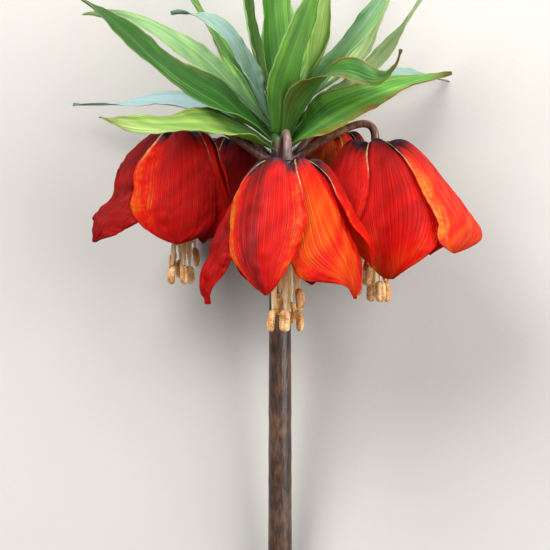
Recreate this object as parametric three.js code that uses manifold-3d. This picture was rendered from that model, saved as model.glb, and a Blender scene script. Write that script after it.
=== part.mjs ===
// Crown imperial fritillary: one cut flowering stem, laid down on a table.
// A bare purple stem carries a ring of nodding bells on arched stalks and, above them, a crown of leaves.
// Everything is modelled as it grows (X right, -Y front, +Z up the stem, origin at the foot of the crown)
// and is then laid on its back in the part's own frame, where the table is the plane z = 0.
import * as THREE from "three";
import Module from "manifold-3d";

const wasm = await Module();
wasm.setup();

// Driving dimensions, in millimetres and degrees.
const stemLength = 220; // from the foot of the crown down to the cut
const stemTopRadius = 4;
const stemCutRadius = 5.4;
const umbelRadius = 5; // the swelling that the bells' stalks grow from
const coreHeight = 22; // the stem's tip, hidden between the leaves
const coreTipRadius = 2.4;
const lieAngle = 12.5; // the stem's slope as it lies, crown end up
const bellLength = 57; // of a bell at full size, from its stalk to the tips of its tepals
const tepalThickness = 0.8;
const leafThickness = 0.8;
const stalkRadius = 1.7;
const stalkRoot = -10; // height at which the bells' stalks leave the stem
const antherLength = 9.5;
const knobTop = 2.3; // of the knob that a bell hangs by, over the roots of its tepals
const settle = 0.15; // how much of a piece that bears on the table is pressed flat
const joint = 0.3; // the gap between two pieces that grow together

const lie = THREE.MathUtils.degToRad(lieAngle);
// Height of the crown's foot over the table.
const lift = stemLength * Math.sin(lie) + stemCutRadius * Math.cos(lie) - settle;

// The crown's leaves, from the lowest up: height of the root on the core, length, width, and the course as
// rows of heading (from the front towards the right), slope and roll: at root, one third, two thirds, tip.
const crownLeaves = [
  [-2.5, 92, 24, [-50, 16, -40], [-42, 5, -31], [-52, -5, -32], [-65, 16, -66]],
  [-2.6, 81, 26, [56, 31, 34], [70, 27, 57], [70, 18, 38], [72, 8, 46]],
  [1, 112, 15, [131, 41, -3], [124, 33, 1], [127, 8, 30], [129, -9, 44]],
  [2, 108, 20, [-112, 39, -12], [-113, 15, -35], [-114, 0, -21], [-112, 3, -11]],
  [4, 98, 13, [166, 48, 0], [166, 41, 0], [165, 33, 0], [164, 28, 0]],
  [1, 98, 15, [-159, 38, 0], [-158, 37, 0], [-156, 33, 0], [-155, 28, 0]],
  [0, 94, 18, [29, 58, -16], [42, 34, 15], [39, -21, 44], [18, 62, 34]],
  [1.4, 112, 25, [-66, 33, -30], [-63, 26, -46], [-65, 40, -47], [-70, 23, -35]],
  [3, 103, 15, [98, 43, 2], [100, 38, 22], [101, 56, 18], [100, 60, 6]],
  [5, 112, 18, [-132, 58, 0], [-122, 54, 4], [-120, 54, 8], [-118, 52, 12]],
  [7, 104, 20, [180, 60, 0], [180, 57, 0], [180, 54, 0], [180, 52, 0]],
  [9, 106, 19, [80, 47, 11], [85, 52, 35], [85, 57, 26], [82, 55, 6]],
  [9, 74, 15, [-84, 56, -12], [-89, 70, -26], [-101, 42, -36], [-95, -10, 1]],
  [15, 112, 15, [148, 58, 0], [148, 62, -6], [146, 62, -12], [144, 60, -16]],
  [4, 105, 25, [8, 54, 11], [38, 63, 23], [52, 76, 18], [60, 74, -5]],
  [16, 116, 14, [-142, 50, 19], [-135, 76, 26], [-138, 86, 3], [-130, 81, 8]],
  [19, 121, 23, [190, 62, -3], [206, 82, 26], [201, 87, 22], [191, 87, 11]],
  [14, 92, 13, [116, 33, 0], [116, 36, 6], [116, 63, 12], [114, 66, 10]],
  [14, 113, 18, [66, 40, 12], [71, 80, 46], [73, 82, 15], [70, 77, -18]],
  [7, 106, 14, [-92, 42, -20], [-100, 44, -34], [-99, 28, -50], [-96, -4, -56]],
];

// The bells: where the stalk meets each one, its size, the azimuth of its first tepal and its filaments'
// length. The six tepals are alternately outer and inner. Each has its flare at the mouth, how far it stands
// off halfway down, how much lower its tip hangs, how many degrees the tip swings, how blunt it is and, where
// there is a sixth number, how much its left side broadens low down.
const bells = [
  {
    name: "front",
    x: 3,
    y: -47,
    z: -14.5,
    size: 0.98,
    turn: -26,
    filament: 54,
    tepals: [
      [0.1, 4, -2.5, 8, 0.1],
      [1.1, 2, 1.6, 18, 0.9, 0.45],
      [0.55, 5, -12, -8, 0.5],
      [0.4, 0, -5, 0, 0.4],
      [0.3, 0, -6, 0, 0.3],
      [1, 4, 4, 11, -0.35],
    ],
  },
  {
    name: "right",
    x: 42,
    y: -12,
    z: -3.5,
    size: 1,
    turn: 62,
    filament: 52,
    tepals: [
      [1.35, 7, -4, -24, 1.1],
      [0.5, 3, -8, 0, 0.3],
      [0.1, 0, 0, 0, 0.3],
      [0.1, 0, 0, 0, 0.3],
      [0.3, 1, 0, 0, 0.2],
      [0.1, 0, 2.4, 9, 0.1],
    ],
  },
  {
    name: "left",
    x: -43,
    y: -12,
    z: 1.5,
    size: 0.88,
    turn: 2,
    filament: 58,
    tepals: [
      [0.05, 0, -2.5, -4, 1.2],
      [0.4, 0, -2, 0, 0.3],
      [0.2, 0, 0, 0, 0.3],
      [0.2, 2, 0, 0, 0.3],
      [0.8, 4, -8, 0, 0.3],
      [0.95, 14, 0.6, 0, 0.5],
    ],
  },
  {
    name: "back_left",
    x: -22,
    y: 26,
    z: 2,
    size: 0.85,
    turn: 20,
    filament: 52,
    tepals: [
      [0.2, 0, 0, 0, 0.2],
      [0.2, 0, 0, 0, 0.2],
      [0.2, 0, 0, 0, 0.2],
      [0.5, 0, 0, 0, 0.2],
      [0.5, 0, 0, 0, 0.2],
      [0.4, 0, 0, 0, 0.2],
    ],
  },
  {
    name: "back_right",
    x: 25,
    y: 26,
    z: 5,
    size: 0.88,
    turn: -30,
    filament: 52,
    tepals: [
      [0.2, 0, 0, 0, 0.2],
      [0.4, 0, 0, 0, 0.2],
      [0.5, 0, 0, 0, 0.2],
      [0.5, 0, 0, 0, 0.2],
      [0.2, 0, 0, 0, 0.2],
      [0.2, 0, 0, 0, 0.2],
    ],
  },
];

// A tepal of the full-size bell from root to tip: radius from the bell's axis, depth below the stalk,
// half width when pointed and half width when blunt.
const tepalCourse = [
  [1.6, 0.5, 2.2, 2.2],
  [7, -2.8, 6.4, 6.4],
  [12.2, -2.6, 9.2, 9.2],
  [16.4, 3.8, 12.6, 12.4],
  [18.8, 13, 16.2, 15.6],
  [21, 22, 18.2, 17.6],
  [23.2, 32, 17, 18.2],
  [24.4, 41, 13, 17.6],
  [24, 49.5, 7.4, 14.4],
  [22.8, bellLength, 1.4, 5],
];

const leafColour = 0x4f8a34;
const stemColour = 0x3d2426;
const tepalColour = 0xc9251b;
const stamenColour = 0xd9b27c;

// --- small tools -------------------------------------------------------------------------------

const smooth = (x) => THREE.MathUtils.smoothstep(x, 0, 1);
const radians = THREE.MathUtils.degToRad;
const outward = (azimuth) => new THREE.Vector3(Math.sin(azimuth), -Math.cos(azimuth), 0);

// Catmull-Rom through rows of numbers, at t from 0 to 1.
function along(rows, t) {
  const last = rows.length - 1;
  const x = THREE.MathUtils.clamp(t, 0, 1) * last;
  const i = Math.min(Math.floor(x), last - 1);
  const w = x - i;
  const before = rows[i - 1] ?? rows[0].map((a, k) => 2 * a - rows[1][k]);
  const after = rows[i + 2] ?? rows[last].map((a, k) => 2 * a - rows[last - 1][k]);
  return rows[i].map((a, k) => {
    const b = rows[i + 1][k];
    const slopeA = (b - before[k]) / 2;
    const slopeB = (after[k] - a) / 2;
    const cubic = 2 * a - 2 * b + slopeA + slopeB;
    const square = 3 * b - 3 * a - 2 * slopeA - slopeB;
    return ((cubic * w + square) * w + slopeA) * w + a;
  });
}

// Bends a point clear of a plane. Further off than the softness nothing changes, and what would reach well
// through the plane lies flat on it.
function keepOff(point, normal, distance, clearance, softness) {
  const height = point.dot(normal) + distance - clearance;
  if (height >= softness) return point;
  const eased = height <= -softness ? 0 : (height + softness) ** 2 / (4 * softness);
  return point.addScaledVector(normal, eased - height);
}

const tableNormal = new THREE.Vector3(0, -Math.cos(lie), Math.sin(lie));
const restOnTable = (point, clearance) => keepOff(point, tableNormal, lift, clearance - settle, 2.5);

// --- solids ------------------------------------------------------------------------------------

function geometryOf(vertices, faces) {
  const geometry = new THREE.BufferGeometry();
  const positions = vertices.flatMap((v) => v.toArray());
  geometry.setAttribute("position", new THREE.Float32BufferAttribute(positions, 3));
  geometry.setIndex(faces.flat());
  return geometry;
}

function solidOf(geometry) {
  const mesh = new wasm.Mesh({
    numProp: 3,
    vertProperties: new Float32Array(geometry.attributes.position.array),
    triVerts: new Uint32Array(geometry.index.array),
  });
  return new wasm.Manifold(mesh);
}

function geometryFrom(solid) {
  const { numProp, numVert, vertProperties, triVerts } = solid.getMesh();
  const positions = new Float32Array(numVert * 3);
  for (let i = 0; i < numVert; i++)
    positions.set(vertProperties.subarray(i * numProp, i * numProp + 3), i * 3);
  const geometry = new THREE.BufferGeometry();
  geometry.setAttribute("position", new THREE.BufferAttribute(positions, 3));
  geometry.setIndex(new THREE.BufferAttribute(new Uint32Array(triVerts), 1));
  return geometry;
}

// Joins pieces into one body; pockets shut in between two blades are filled.
function fuse(geometries) {
  const bodies = geometries.map(solidOf).reduce((all, one) => all.add(one)).decompose();
  return geometryFrom(bodies.reduce((largest, body) => (body.volume() > largest.volume() ? body : largest)));
}

// A thin blade: the middle surface as rows of points, thickened alike to both sides.
function blade(rows, thickness) {
  const last = rows.length - 1;
  const side = rows[0].length - 1;
  const normalAt = (i, j) => {
    const lengthwise = rows[Math.min(i + 1, last)][j].clone().sub(rows[Math.max(i - 1, 0)][j]);
    const crosswise = rows[i][Math.min(j + 1, side)].clone().sub(rows[i][Math.max(j - 1, 0)]);
    return crosswise.cross(lengthwise).normalize();
  };
  const vertices = [];
  for (const offset of [thickness / 2, -thickness / 2])
    rows.forEach((row, i) => {
      row.forEach((p, j) => vertices.push(p.clone().addScaledVector(normalAt(i, j), offset)));
    });
  const upper = (i, j) => i * (side + 1) + j;
  const lower = (i, j) => rows.length * (side + 1) + upper(i, j);
  const faces = [];
  const quad = (a, b, c, d) => faces.push([a, b, c], [a, c, d]);
  for (let i = 0; i < last; i++)
    for (let j = 0; j < side; j++) {
      quad(upper(i, j), upper(i, j + 1), upper(i + 1, j + 1), upper(i + 1, j));
      faces.push([lower(i, j), lower(i + 1, j + 1), lower(i, j + 1)]);
      faces.push([lower(i, j), lower(i + 1, j), lower(i + 1, j + 1)]);
    }
  for (let i = 0; i < last; i++) {
    quad(lower(i, 0), upper(i, 0), upper(i + 1, 0), lower(i + 1, 0));
    quad(upper(i, side), lower(i, side), lower(i + 1, side), upper(i + 1, side));
  }
  for (let j = 0; j < side; j++) {
    quad(lower(0, j + 1), upper(0, j + 1), upper(0, j), lower(0, j));
    quad(lower(last, j), upper(last, j), upper(last, j + 1), lower(last, j + 1));
  }
  return geometryOf(vertices, faces);
}

// A round stalk through points, with a radius at each.
function stalk(points, radii, sides) {
  const vertices = [];
  const faces = [];
  let across = new THREE.Vector3(1, 0, 0);
  points.forEach((p, i) => {
    const ahead = points[Math.min(i + 1, points.length - 1)];
    const tangent = ahead.clone().sub(points[Math.max(i - 1, 0)]).normalize();
    across = across.addScaledVector(tangent, -across.dot(tangent)).normalize();
    const over = tangent.clone().cross(across);
    for (let k = 0; k < sides; k++) {
      const angle = (2 * Math.PI * k) / sides;
      const spoke = across.clone().multiplyScalar(Math.cos(angle)).addScaledVector(over, Math.sin(angle));
      vertices.push(p.clone().addScaledVector(spoke, radii[i]));
    }
  });
  const ring = (i, k) => i * sides + (k % sides);
  const last = points.length - 1;
  for (let i = 0; i < last; i++)
    for (let k = 0; k < sides; k++) {
      faces.push([ring(i, k), ring(i, k + 1), ring(i + 1, k + 1)]);
      faces.push([ring(i, k), ring(i + 1, k + 1), ring(i + 1, k)]);
    }
  for (let k = 1; k < sides - 1; k++) {
    faces.push([ring(0, 0), ring(0, k + 1), ring(0, k)]);
    faces.push([ring(last, 0), ring(last, k), ring(last, k + 1)]);
  }
  return geometryOf(vertices, faces);
}

// --- the crown's leaves ------------------------------------------------------------------------

const leafRows = 12;
const leafColumns = 2;
const widestAt = 0.32; // share of a leaf's length where it is widest
const rootWidth = 0.2; // share of a leaf's width at its root
const leafWave = 1.1; // how far a leaf's edges wave up and down

const coreRadius = (z) => THREE.MathUtils.lerp(stemTopRadius, coreTipRadius, z / coreHeight);

function leafHalfWidth(width, s) {
  const swell = smooth(s / widestAt);
  const taper = 1 - Math.max(0, (s - widestAt) / (1 - widestAt)) ** 1.7;
  return Math.max(0.5, (width / 2) * (rootWidth + (1 - rootWidth) * swell) * taper);
}

function leafSurface([root, length, width, ...course]) {
  const azimuth = course[0][0];
  const headingAt = (s) => radians(along(course, s)[0]);
  const tangentAt = (s) => {
    const slope = radians(along(course, s)[1]);
    return outward(headingAt(s)).multiplyScalar(Math.cos(slope)).setZ(Math.sin(slope));
  };
  const start = coreRadius(root) + joint + leafThickness / 2;
  const middle = outward(headingAt(0)).multiplyScalar(start).setZ(root);
  const rows = [];
  for (let i = 0; i <= leafRows; i++) {
    const s = i / leafRows;
    if (i > 0) middle.addScaledVector(tangentAt(s - 0.5 / leafRows), length / leafRows);
    const tangent = tangentAt(s);
    const level = new THREE.Vector3(Math.cos(headingAt(s)), Math.sin(headingAt(s)), 0);
    const across = level.applyAxisAngle(tangent, radians(along(course, s)[2]));
    const inner = tangent.clone().cross(across);
    const half = leafHalfWidth(width, s);
    const channel = (0.16 + 0.38 * (1 - smooth(s / 0.7))) * (0.6 + 0.4 * smooth(s / 0.1));
    const row = [];
    for (let j = 0; j <= leafColumns; j++) {
      const u = (2 * j) / leafColumns - 1;
      const phase = 2 * Math.PI * (2.4 * s + 0.17 * azimuth) + 1.3 * u;
      const wave = leafWave * Math.sin(phase) * smooth(s / 0.4);
      const p = middle.clone().addScaledVector(across, u * half);
      p.addScaledVector(inner, (channel * half + wave) * u * u);
      row.push(restOnTable(p, leafThickness / 2));
    }
    rows.push(row);
  }
  return rows;
}

// --- the bells ---------------------------------------------------------------------------------

const tepalRows = 7;
const tepalColumns = 4;
const layerGap = 1.15; // outer tepals stand this far outside the bell's mean form, inner ones inside
const edgeWave = 0.5; // how far a tepal's edges wave in and out

const lobeDepth = 5; // how deep the creases between tepals are at the crest of a bell
const mouthFlare = 13; // how far out a tepal of flare 1 ends

const opened = (v, flare) => smooth((v - 0.38 + 0.15 * flare) / (0.62 + 0.15 * flare));
const standOff = (v, flare, spread) => {
  return mouthFlare * flare * opened(v, flare) ** 1.4 + spread * smooth((v - 0.12) / 0.4);
};

// A tepal's own value at its ridge and, between ridges, a value that both share: the outer one's nearly up to
// the inner one's ridge, so that the inner one stays beneath it.
function shared(bell, item, angle) {
  const x = angle / radians(60) + 6;
  const k = Math.floor(x);
  const t = x - k;
  const weight = k % 2 === 0 ? smooth((t - 0.55) / 0.45) : smooth(t / 0.45);
  return THREE.MathUtils.lerp(bell.tepals[k % 6][item], bell.tepals[(k + 1) % 6][item], weight);
}

function tepalPoint(bell, k, u, v) {
  const [radius, depth, pointed, bluntWidth] = along(tepalCourse, v);
  const [ownFlare, ownSpread, drop, swing, blunt, skirt = 0] = bell.tepals[k];
  const broader = u < 0 ? skirt * smooth((v - 0.5) / 0.25) * (1 - smooth((v - 0.8) / 0.2)) : 0;
  const half = THREE.MathUtils.lerp(pointed, bluntWidth, blunt) * (1 + broader);
  const outer = k % 2 === 0 ? 1 : -1;
  const across = (u * half) / Math.max(radius + standOff(v, ownFlare, ownSpread), 5);
  const angle = across + radians(swing) * Math.max(0, (v - 0.2) / 0.8) ** 3;
  const fromRidge = Math.abs(((across / radians(60) + 1.5) % 1) - 0.5) * 2;
  const lobe = lobeDepth * (1 - smooth((v - 0.1) / 0.35)) * fromRidge ** 2;
  const curl = 0.6 * smooth((v - 0.4) / 0.3) * u * u;
  const phase = 2 * Math.PI * (3.1 * v + 0.37 * k) + 2 * u;
  const wave = edgeWave * Math.sin(phase) * u * u * smooth((v - 0.3) / 0.3);
  const layer = outer * layerGap * smooth(v / 0.14);
  const flare = shared(bell, 0, radians(60 * k) + angle);
  const spread = shared(bell, 1, radians(60 * k) + angle);
  const reach = radius + standOff(v, flare, spread) + layer - lobe - curl + wave;
  const point = outward(radians(bell.turn + 60 * k) + angle).multiplyScalar(reach);
  const rise = 4.5 * flare * opened(v, flare) ** 2;
  point.z = rise - depth - drop * smooth((v - 0.4) / 0.6) - 0.85 * lobe * smooth(v / 0.1);
  return point.multiplyScalar(bell.size).add(new THREE.Vector3(bell.x, bell.y, bell.z));
}

// Where bells crowd, and on the table, tepals are pressed flat instead of passing through.
function pressed(bell, point, k) {
  const clearance = tepalThickness / 2 + (k % 2 ? 1.5 : 0);
  for (const other of bells) {
    if (other === bell) continue;
    const away = new THREE.Vector3(bell.x - other.x, bell.y - other.y, 0);
    const middle = new THREE.Vector3((bell.x + other.x) / 2, (bell.y + other.y) / 2, 0);
    away.normalize();
    keepOff(point, away, -middle.dot(away), clearance + joint, 4);
  }
  return restOnTable(point, clearance);
}

function tepals(bell) {
  const blades = [];
  for (let k = 0; k < 6; k++) {
    const rows = [];
    for (let i = 0; i <= tepalRows; i++) {
      const row = [];
      for (let j = 0; j <= tepalColumns; j++)
        row.push(pressed(bell, tepalPoint(bell, k, (2 * j) / tepalColumns - 1, i / tepalRows), k));
      rows.push(row);
    }
    blades.push(blade(rows, tepalThickness));
  }
  const at = (height) => new THREE.Vector3(bell.x, bell.y, bell.z + height * bell.size);
  const knob = stalk([at(-3), at(knobTop)], [4.2, 2.4], 8);
  return fuse([knob, ...blades]);
}

// How much longer or shorter than the others each filament is.
const filamentSteps = [3, -6, 3, 0, -4, 3];

function stamens(bell) {
  const at = (out, angle, depth) =>
    outward(angle)
      .multiplyScalar(out * bell.size)
      .add(new THREE.Vector3(bell.x, bell.y, bell.z - 3 * bell.size - joint - depth * bell.size));
  const pieces = [stalk([at(0, 0, 3), at(0, 0, 0)], [2.4, 3.4], 6)];
  for (let k = 0; k < 6; k++) {
    const angle = radians(bell.turn + 60 * k + 12);
    const out = k % 2 ? 6.6 : 4.6;
    const length = bell.filament + filamentSteps[k];
    const course = [0, 0.3, 0.72, 1].map((t) => at(out + t, angle, length + antherLength * t)).reverse();
    pieces.push(stalk([...course, at(1.7, angle, 1)], [1.2, 2, 2, 1, 0.9], 6));
  }
  const style = [bell.filament + 4, bell.filament, 1].map((depth) => at(0, 0, depth));
  pieces.push(stalk(style, [1.6, 0.9, 1.1], 5));
  return fuse(pieces);
}

// --- the stem ----------------------------------------------------------------------------------

function bellStalk(bell) {
  const azimuth = Math.atan2(bell.x, -bell.y);
  const reach = Math.hypot(bell.x, bell.y);
  const out = outward(azimuth);
  const root = out.clone().multiplyScalar(2).setZ(stalkRoot);
  const top = new THREE.Vector3(bell.x, bell.y, bell.z + knobTop * bell.size + joint);
  const rising = root.clone().addScaledVector(out, 0.5 * reach).setZ(stalkRoot + 8 + 0.1 * reach);
  const falling = top.clone().add(new THREE.Vector3(0, 0, 12 + 0.12 * reach));
  const neck = top.clone().setZ(top.z + 1.2);
  const points = [top, ...new THREE.CubicBezierCurve3(neck, falling, rising, root).getPoints(8)];
  const swell = (i) => 0.15 * (1 - smooth(i / 3)) + 0.3 * smooth((i - 7) / 2);
  const radii = points.map((_, i) => stalkRadius * (1 + swell(i)));
  return stalk(points, radii, 8);
}

function stem() {
  const at = (z) => new THREE.Vector3(0, 0, z);
  const axis = stalk(
    [at(-stemLength), at(-stemLength / 2), at(-26), at(stalkRoot), at(-4), at(coreHeight)],
    [stemCutRadius, 5.1, 4.6, umbelRadius, stemTopRadius, coreTipRadius],
    16,
  );
  return fuse([axis, ...bells.map(bellStalk)]);
}

// --- the whole ---------------------------------------------------------------------------------

const plant = new THREE.Group();

// Adds a named piece, cut flat where it bears on the table.
function add(name, geometry, colour, roughness) {
  const material = new THREE.MeshStandardMaterial({ color: colour, roughness, metalness: 0 });
  const resting = solidOf(geometry).trimByPlane(tableNormal.toArray(), -lift);
  const mesh = new THREE.Mesh(geometryFrom(resting), material);
  mesh.name = name;
  plant.add(mesh);
}

add("stem", stem(), stemColour, 0.55);
crownLeaves.forEach((leaf, i) => {
  const name = `crown_leaf_${String(i + 1).padStart(2, "0")}`;
  add(name, blade(leafSurface(leaf), leafThickness), leafColour, 0.45);
});
for (const bell of bells) {
  add(`bell_${bell.name}`, tepals(bell), tepalColour, 0.6);
  add(`stamens_${bell.name}`, stamens(bell), stamenColour, 0.7);
}

// Laid on its back: up the stem becomes +Y, the front becomes up. The origin is the middle of the footprint.
plant.rotation.x = lie - Math.PI / 2;
plant.position.z = lift;
const part = new THREE.Group();
part.add(plant);
part.updateMatrixWorld(true);
const footprint = new THREE.Box3().setFromObject(part, true).getCenter(new THREE.Vector3());
plant.position.x = -footprint.x;
plant.position.y = -footprint.y;

export default part;
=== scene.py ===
import math
from functools import partial

import bmesh
import bpy
import numpy as np
from mathutils import Matrix, Vector


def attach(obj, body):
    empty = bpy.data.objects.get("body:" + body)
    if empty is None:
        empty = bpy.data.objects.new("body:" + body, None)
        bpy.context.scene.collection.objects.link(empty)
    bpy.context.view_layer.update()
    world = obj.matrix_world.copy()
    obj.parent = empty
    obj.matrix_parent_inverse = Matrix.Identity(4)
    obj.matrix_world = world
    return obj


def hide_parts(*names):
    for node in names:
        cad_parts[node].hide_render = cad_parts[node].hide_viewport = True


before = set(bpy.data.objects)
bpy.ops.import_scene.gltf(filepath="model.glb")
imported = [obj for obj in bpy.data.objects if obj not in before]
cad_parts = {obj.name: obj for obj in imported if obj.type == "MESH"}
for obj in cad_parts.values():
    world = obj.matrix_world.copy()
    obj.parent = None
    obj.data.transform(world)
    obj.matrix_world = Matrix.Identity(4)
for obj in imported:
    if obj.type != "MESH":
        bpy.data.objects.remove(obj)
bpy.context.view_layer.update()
scene = bpy.context.scene
print("frame loaded")

# How the cut stem lies, with the same sizes as the solids have. Here and below, lengths are in
# millimetres and angles in degrees, unless a note says otherwise.
plant = {
    "lie": 12.5,  # slope of the stem, crown end up
    "stemLength": 220.0,
    "stemCutRadius": 5.4,
    "stemTopRadius": 4.0,
    "coreHeight": 22.0,  # the stem's tip, hidden between the leaves
    "coreTipRadius": 2.4,
    "settle": 0.15,  # pressed flat where it bears on the table
    "joint": 0.3,  # gap between pieces that grow together
    "tableBend": 2.5,  # leaves and tepals begin to bend this far above the table
}

lie = math.radians(plant["lie"])
footHeight = (
    plant["stemLength"] * math.sin(lie) + plant["stemCutRadius"] * math.cos(lie) - plant["settle"]
)
tableNormal = np.array([0.0, -math.cos(lie), math.sin(lie)])
sixth = math.radians(60)  # from one tepal to the next


# Goes smoothly from 0 at the start to 1 at the end, which may be the smaller of the two.
def ease(x, start, end):
    t = np.clip((x - start) / (end - start), 0.0, 1.0)
    return t * t * (3.0 - 2.0 * t)


# Rounds a half width off from the start to the tip at 1.
def roundTip(x, start, least):
    return np.sqrt(np.maximum(1 - (np.maximum(x - start, 0) / (1 - start)) ** 2, least))


def mix(a, b, t):
    return a + (b - a) * t


def outward(azimuth):
    return np.stack([np.sin(azimuth), -np.cos(azimuth), np.zeros_like(azimuth)], axis=-1)


# Catmull-Rom through rows of numbers, at t from 0 to 1.
def along(rows, t):
    rows = np.asarray(rows, dtype=float)
    rows = np.vstack([2 * rows[0] - rows[1], rows, 2 * rows[-1] - rows[-2]])
    x = np.clip(t, 0.0, 1.0) * (len(rows) - 3)
    i = np.minimum(x.astype(int), len(rows) - 4)
    w = (x - i)[..., None]
    before, a, b, after = rows[i], rows[i + 1], rows[i + 2], rows[i + 3]
    slopeA, slopeB = (b - before) / 2, (after - a) / 2
    cubic = 2 * a - 2 * b + slopeA + slopeB
    square = 3 * b - 3 * a - 2 * slopeA - slopeB
    return ((cubic * w + square) * w + slopeA) * w + a


# Bends points clear of a plane, flat on it where they would reach well through.
def keepOff(points, normal, distance, clearance, bend):
    height = points @ normal + distance - clearance
    eased = np.where(height <= -bend, 0.0, (height + bend) ** 2 / (4 * bend))
    lifted = np.where(height >= bend, 0.0, eased - height)
    return points + lifted[..., None] * normal


def restOnTable(points, clearance):
    return keepOff(points, tableNormal, footHeight, clearance - plant["settle"], plant["tableBend"])


# The same uneven curve every run: four waves with set lengths and phases, mostly between -1 and 1.
def uneven(x, seed):
    rng = np.random.default_rng(seed)
    total = 0
    for n in range(4):
        pace = 1.0 + n * 1.37 + rng.random()
        total += np.sin(x * pace + rng.random() * 2 * math.pi) / 2
    return total


# Where the foot of the crown is in the frame, from the cut end of the stem's own solid.
def crownFoot():
    corners = np.array([v.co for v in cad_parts["stem"].data.vertices])
    cutY = corners[:, 1].min()
    rim = corners[corners[:, 1] < cutY + 0.002]  # all within 2 mm of the cut
    middleX = (rim[:, 0].min() + rim[:, 0].max()) / 2
    reach = plant["stemLength"] * math.cos(lie) + plant["stemCutRadius"] * math.sin(lie)
    return np.array([middleX, cutY + reach / 1000, footHeight / 1000])


foot = crownFoot()


# From the growing plant's millimetres (X right, -Y front, Z up the stem) to the frame's metres.
def laid(points):
    x, y, z = np.moveaxis(np.asarray(points, dtype=float), -1, 0)
    far = y * math.sin(lie) + z * math.cos(lie)
    high = z * math.sin(lie) - y * math.cos(lie)
    return np.stack([x, far, high], axis=-1) / 1000 + foot


def linkedObject(name, content):
    item = bpy.data.objects.new(name, content)
    scene.collection.objects.link(item)
    return item


def meshObject(name, vertices, faces, uv=None, layers=None, material=None):
    mesh = bpy.data.meshes.new(name)
    faces = np.asarray(faces)
    starts = np.arange(0, faces.size, faces.shape[1], dtype=np.int32)
    mesh.vertices.add(len(vertices))
    mesh.vertices.foreach_set("co", np.asarray(vertices, dtype=np.float32).ravel())
    mesh.loops.add(faces.size)
    mesh.loops.foreach_set("vertex_index", faces.astype(np.int32).ravel())
    mesh.polygons.add(len(faces))
    mesh.polygons.foreach_set("loop_start", starts)
    mesh.update(calc_edges=True)
    mesh.polygons.foreach_set("use_smooth", np.ones(len(faces), dtype=bool))
    if uv is not None:
        corners = uv[faces.ravel()].astype(np.float32)
        mesh.uv_layers.new(name="blade").uv.foreach_set("vector", corners.ravel())
    for layer, values in (layers or {}).items():
        stored = mesh.attributes.new(layer, "FLOAT", "POINT")
        stored.data.foreach_set("value", values.astype(np.float32))
    mesh.validate()
    mesh.materials.append(material)
    return linkedObject(name, mesh)


# A thin closed blade about a middle surface (rows, columns, 3) in plant millimetres.
# Layers are (rows, columns) arrays; "side" tells the first face (1) from the second (0).
def bladeParts(middle, thickness, layers):
    rows, columns = middle.shape[:2]
    normal = np.cross(np.gradient(middle, axis=1), np.gradient(middle, axis=0))
    normal /= np.maximum(np.linalg.norm(normal, axis=-1, keepdims=True), 1e-9)
    half = normal * thickness[..., None] / 2
    vertices = np.concatenate([(middle + half).reshape(-1, 3), (middle - half).reshape(-1, 3)])
    index = np.arange(rows * columns).reshape(rows, columns)
    other = index + rows * columns
    strips = [
        (index[:-1, :-1], index[:-1, 1:], index[1:, 1:], index[1:, :-1]),
        (other[:-1, :-1], other[1:, :-1], other[1:, 1:], other[:-1, 1:]),
        (other[:-1, 0], index[:-1, 0], index[1:, 0], other[1:, 0]),
        (index[:-1, -1], other[:-1, -1], other[1:, -1], index[1:, -1]),
        (other[0, 1:], index[0, 1:], index[0, :-1], other[0, :-1]),
        (other[-1, :-1], index[-1, :-1], index[-1, 1:], other[-1, 1:]),
    ]
    faces = [np.stack([corner.ravel() for corner in strip], axis=1) for strip in strips]
    v, u = np.meshgrid(np.linspace(0, 1, rows), np.linspace(0, 1, columns), indexing="ij")
    uv = np.tile(np.stack([u, v], axis=-1).reshape(-1, 2), (2, 1))
    flat = {name: np.tile(values.ravel(), 2) for name, values in layers.items()}
    flat["side"] = np.repeat([1.0, 0.0], rows * columns)
    return vertices, np.concatenate(faces), uv, flat


def bladesObject(name, blades, material):
    vertices, faces, uvs, layers = zip(*blades)
    starts = np.cumsum([0] + [len(part) for part in vertices])
    faces = np.concatenate([part + start for part, start in zip(faces, starts)])
    layers = {layer: np.concatenate([part[layer] for part in layers]) for layer in layers[0]}
    points = laid(np.concatenate(vertices))
    return meshObject(name, points, faces, np.concatenate(uvs), layers, material)


def linear(hexColour):
    channels = [int(hexColour[i : i + 2], 16) / 255 for i in (0, 2, 4)]
    return (*[c / 12.92 if c <= 0.04045 else ((c + 0.055) / 1.055) ** 2.4 for c in channels], 1.0)


# Adds a node. Its kind leaves out the tree's own first words. Links go to its inputs in use, by
# name or, in a list, in order. Each is a value, a hex colour, a socket, or a node, which gives its
# first output in use. Stops map the places of a colour ramp to hex colours.
def addNode(tree, kind, links=(), stops=None, **settings):
    family = "" if kind.startswith("NodeGroup") else tree.bl_idname.removesuffix("Tree")
    node = tree.nodes.new(family + kind)
    for key, value in settings.items():
        setattr(node, key, value)
    inputs = [entry for entry in node.inputs if entry.enabled]
    for key, value in links.items() if isinstance(links, dict) else enumerate(links):
        socket = next(entry for n, entry in enumerate(inputs) if key in (n, entry.name))
        if isinstance(value, bpy.types.Node):
            value = next(entry for entry in value.outputs if entry.enabled)
        if isinstance(value, bpy.types.NodeSocket):
            tree.links.new(value, socket)
        else:
            socket.default_value = linear(value) if socket.type == "RGBA" else value
    if stops:
        elements = node.color_ramp.elements
        elements.remove(elements[1])
        for n, (place, hexColour) in enumerate(stops.items()):
            element = elements.new(place) if n else elements[0]
            element.position, element.color = place, linear(hexColour)
    return node


# A material without nodes, and what adds them to it.
def emptyMaterial(name):
    material = bpy.data.materials.new(name)
    material.use_nodes = True
    material.node_tree.nodes.clear()
    return material, partial(addNode, material.node_tree)


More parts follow.
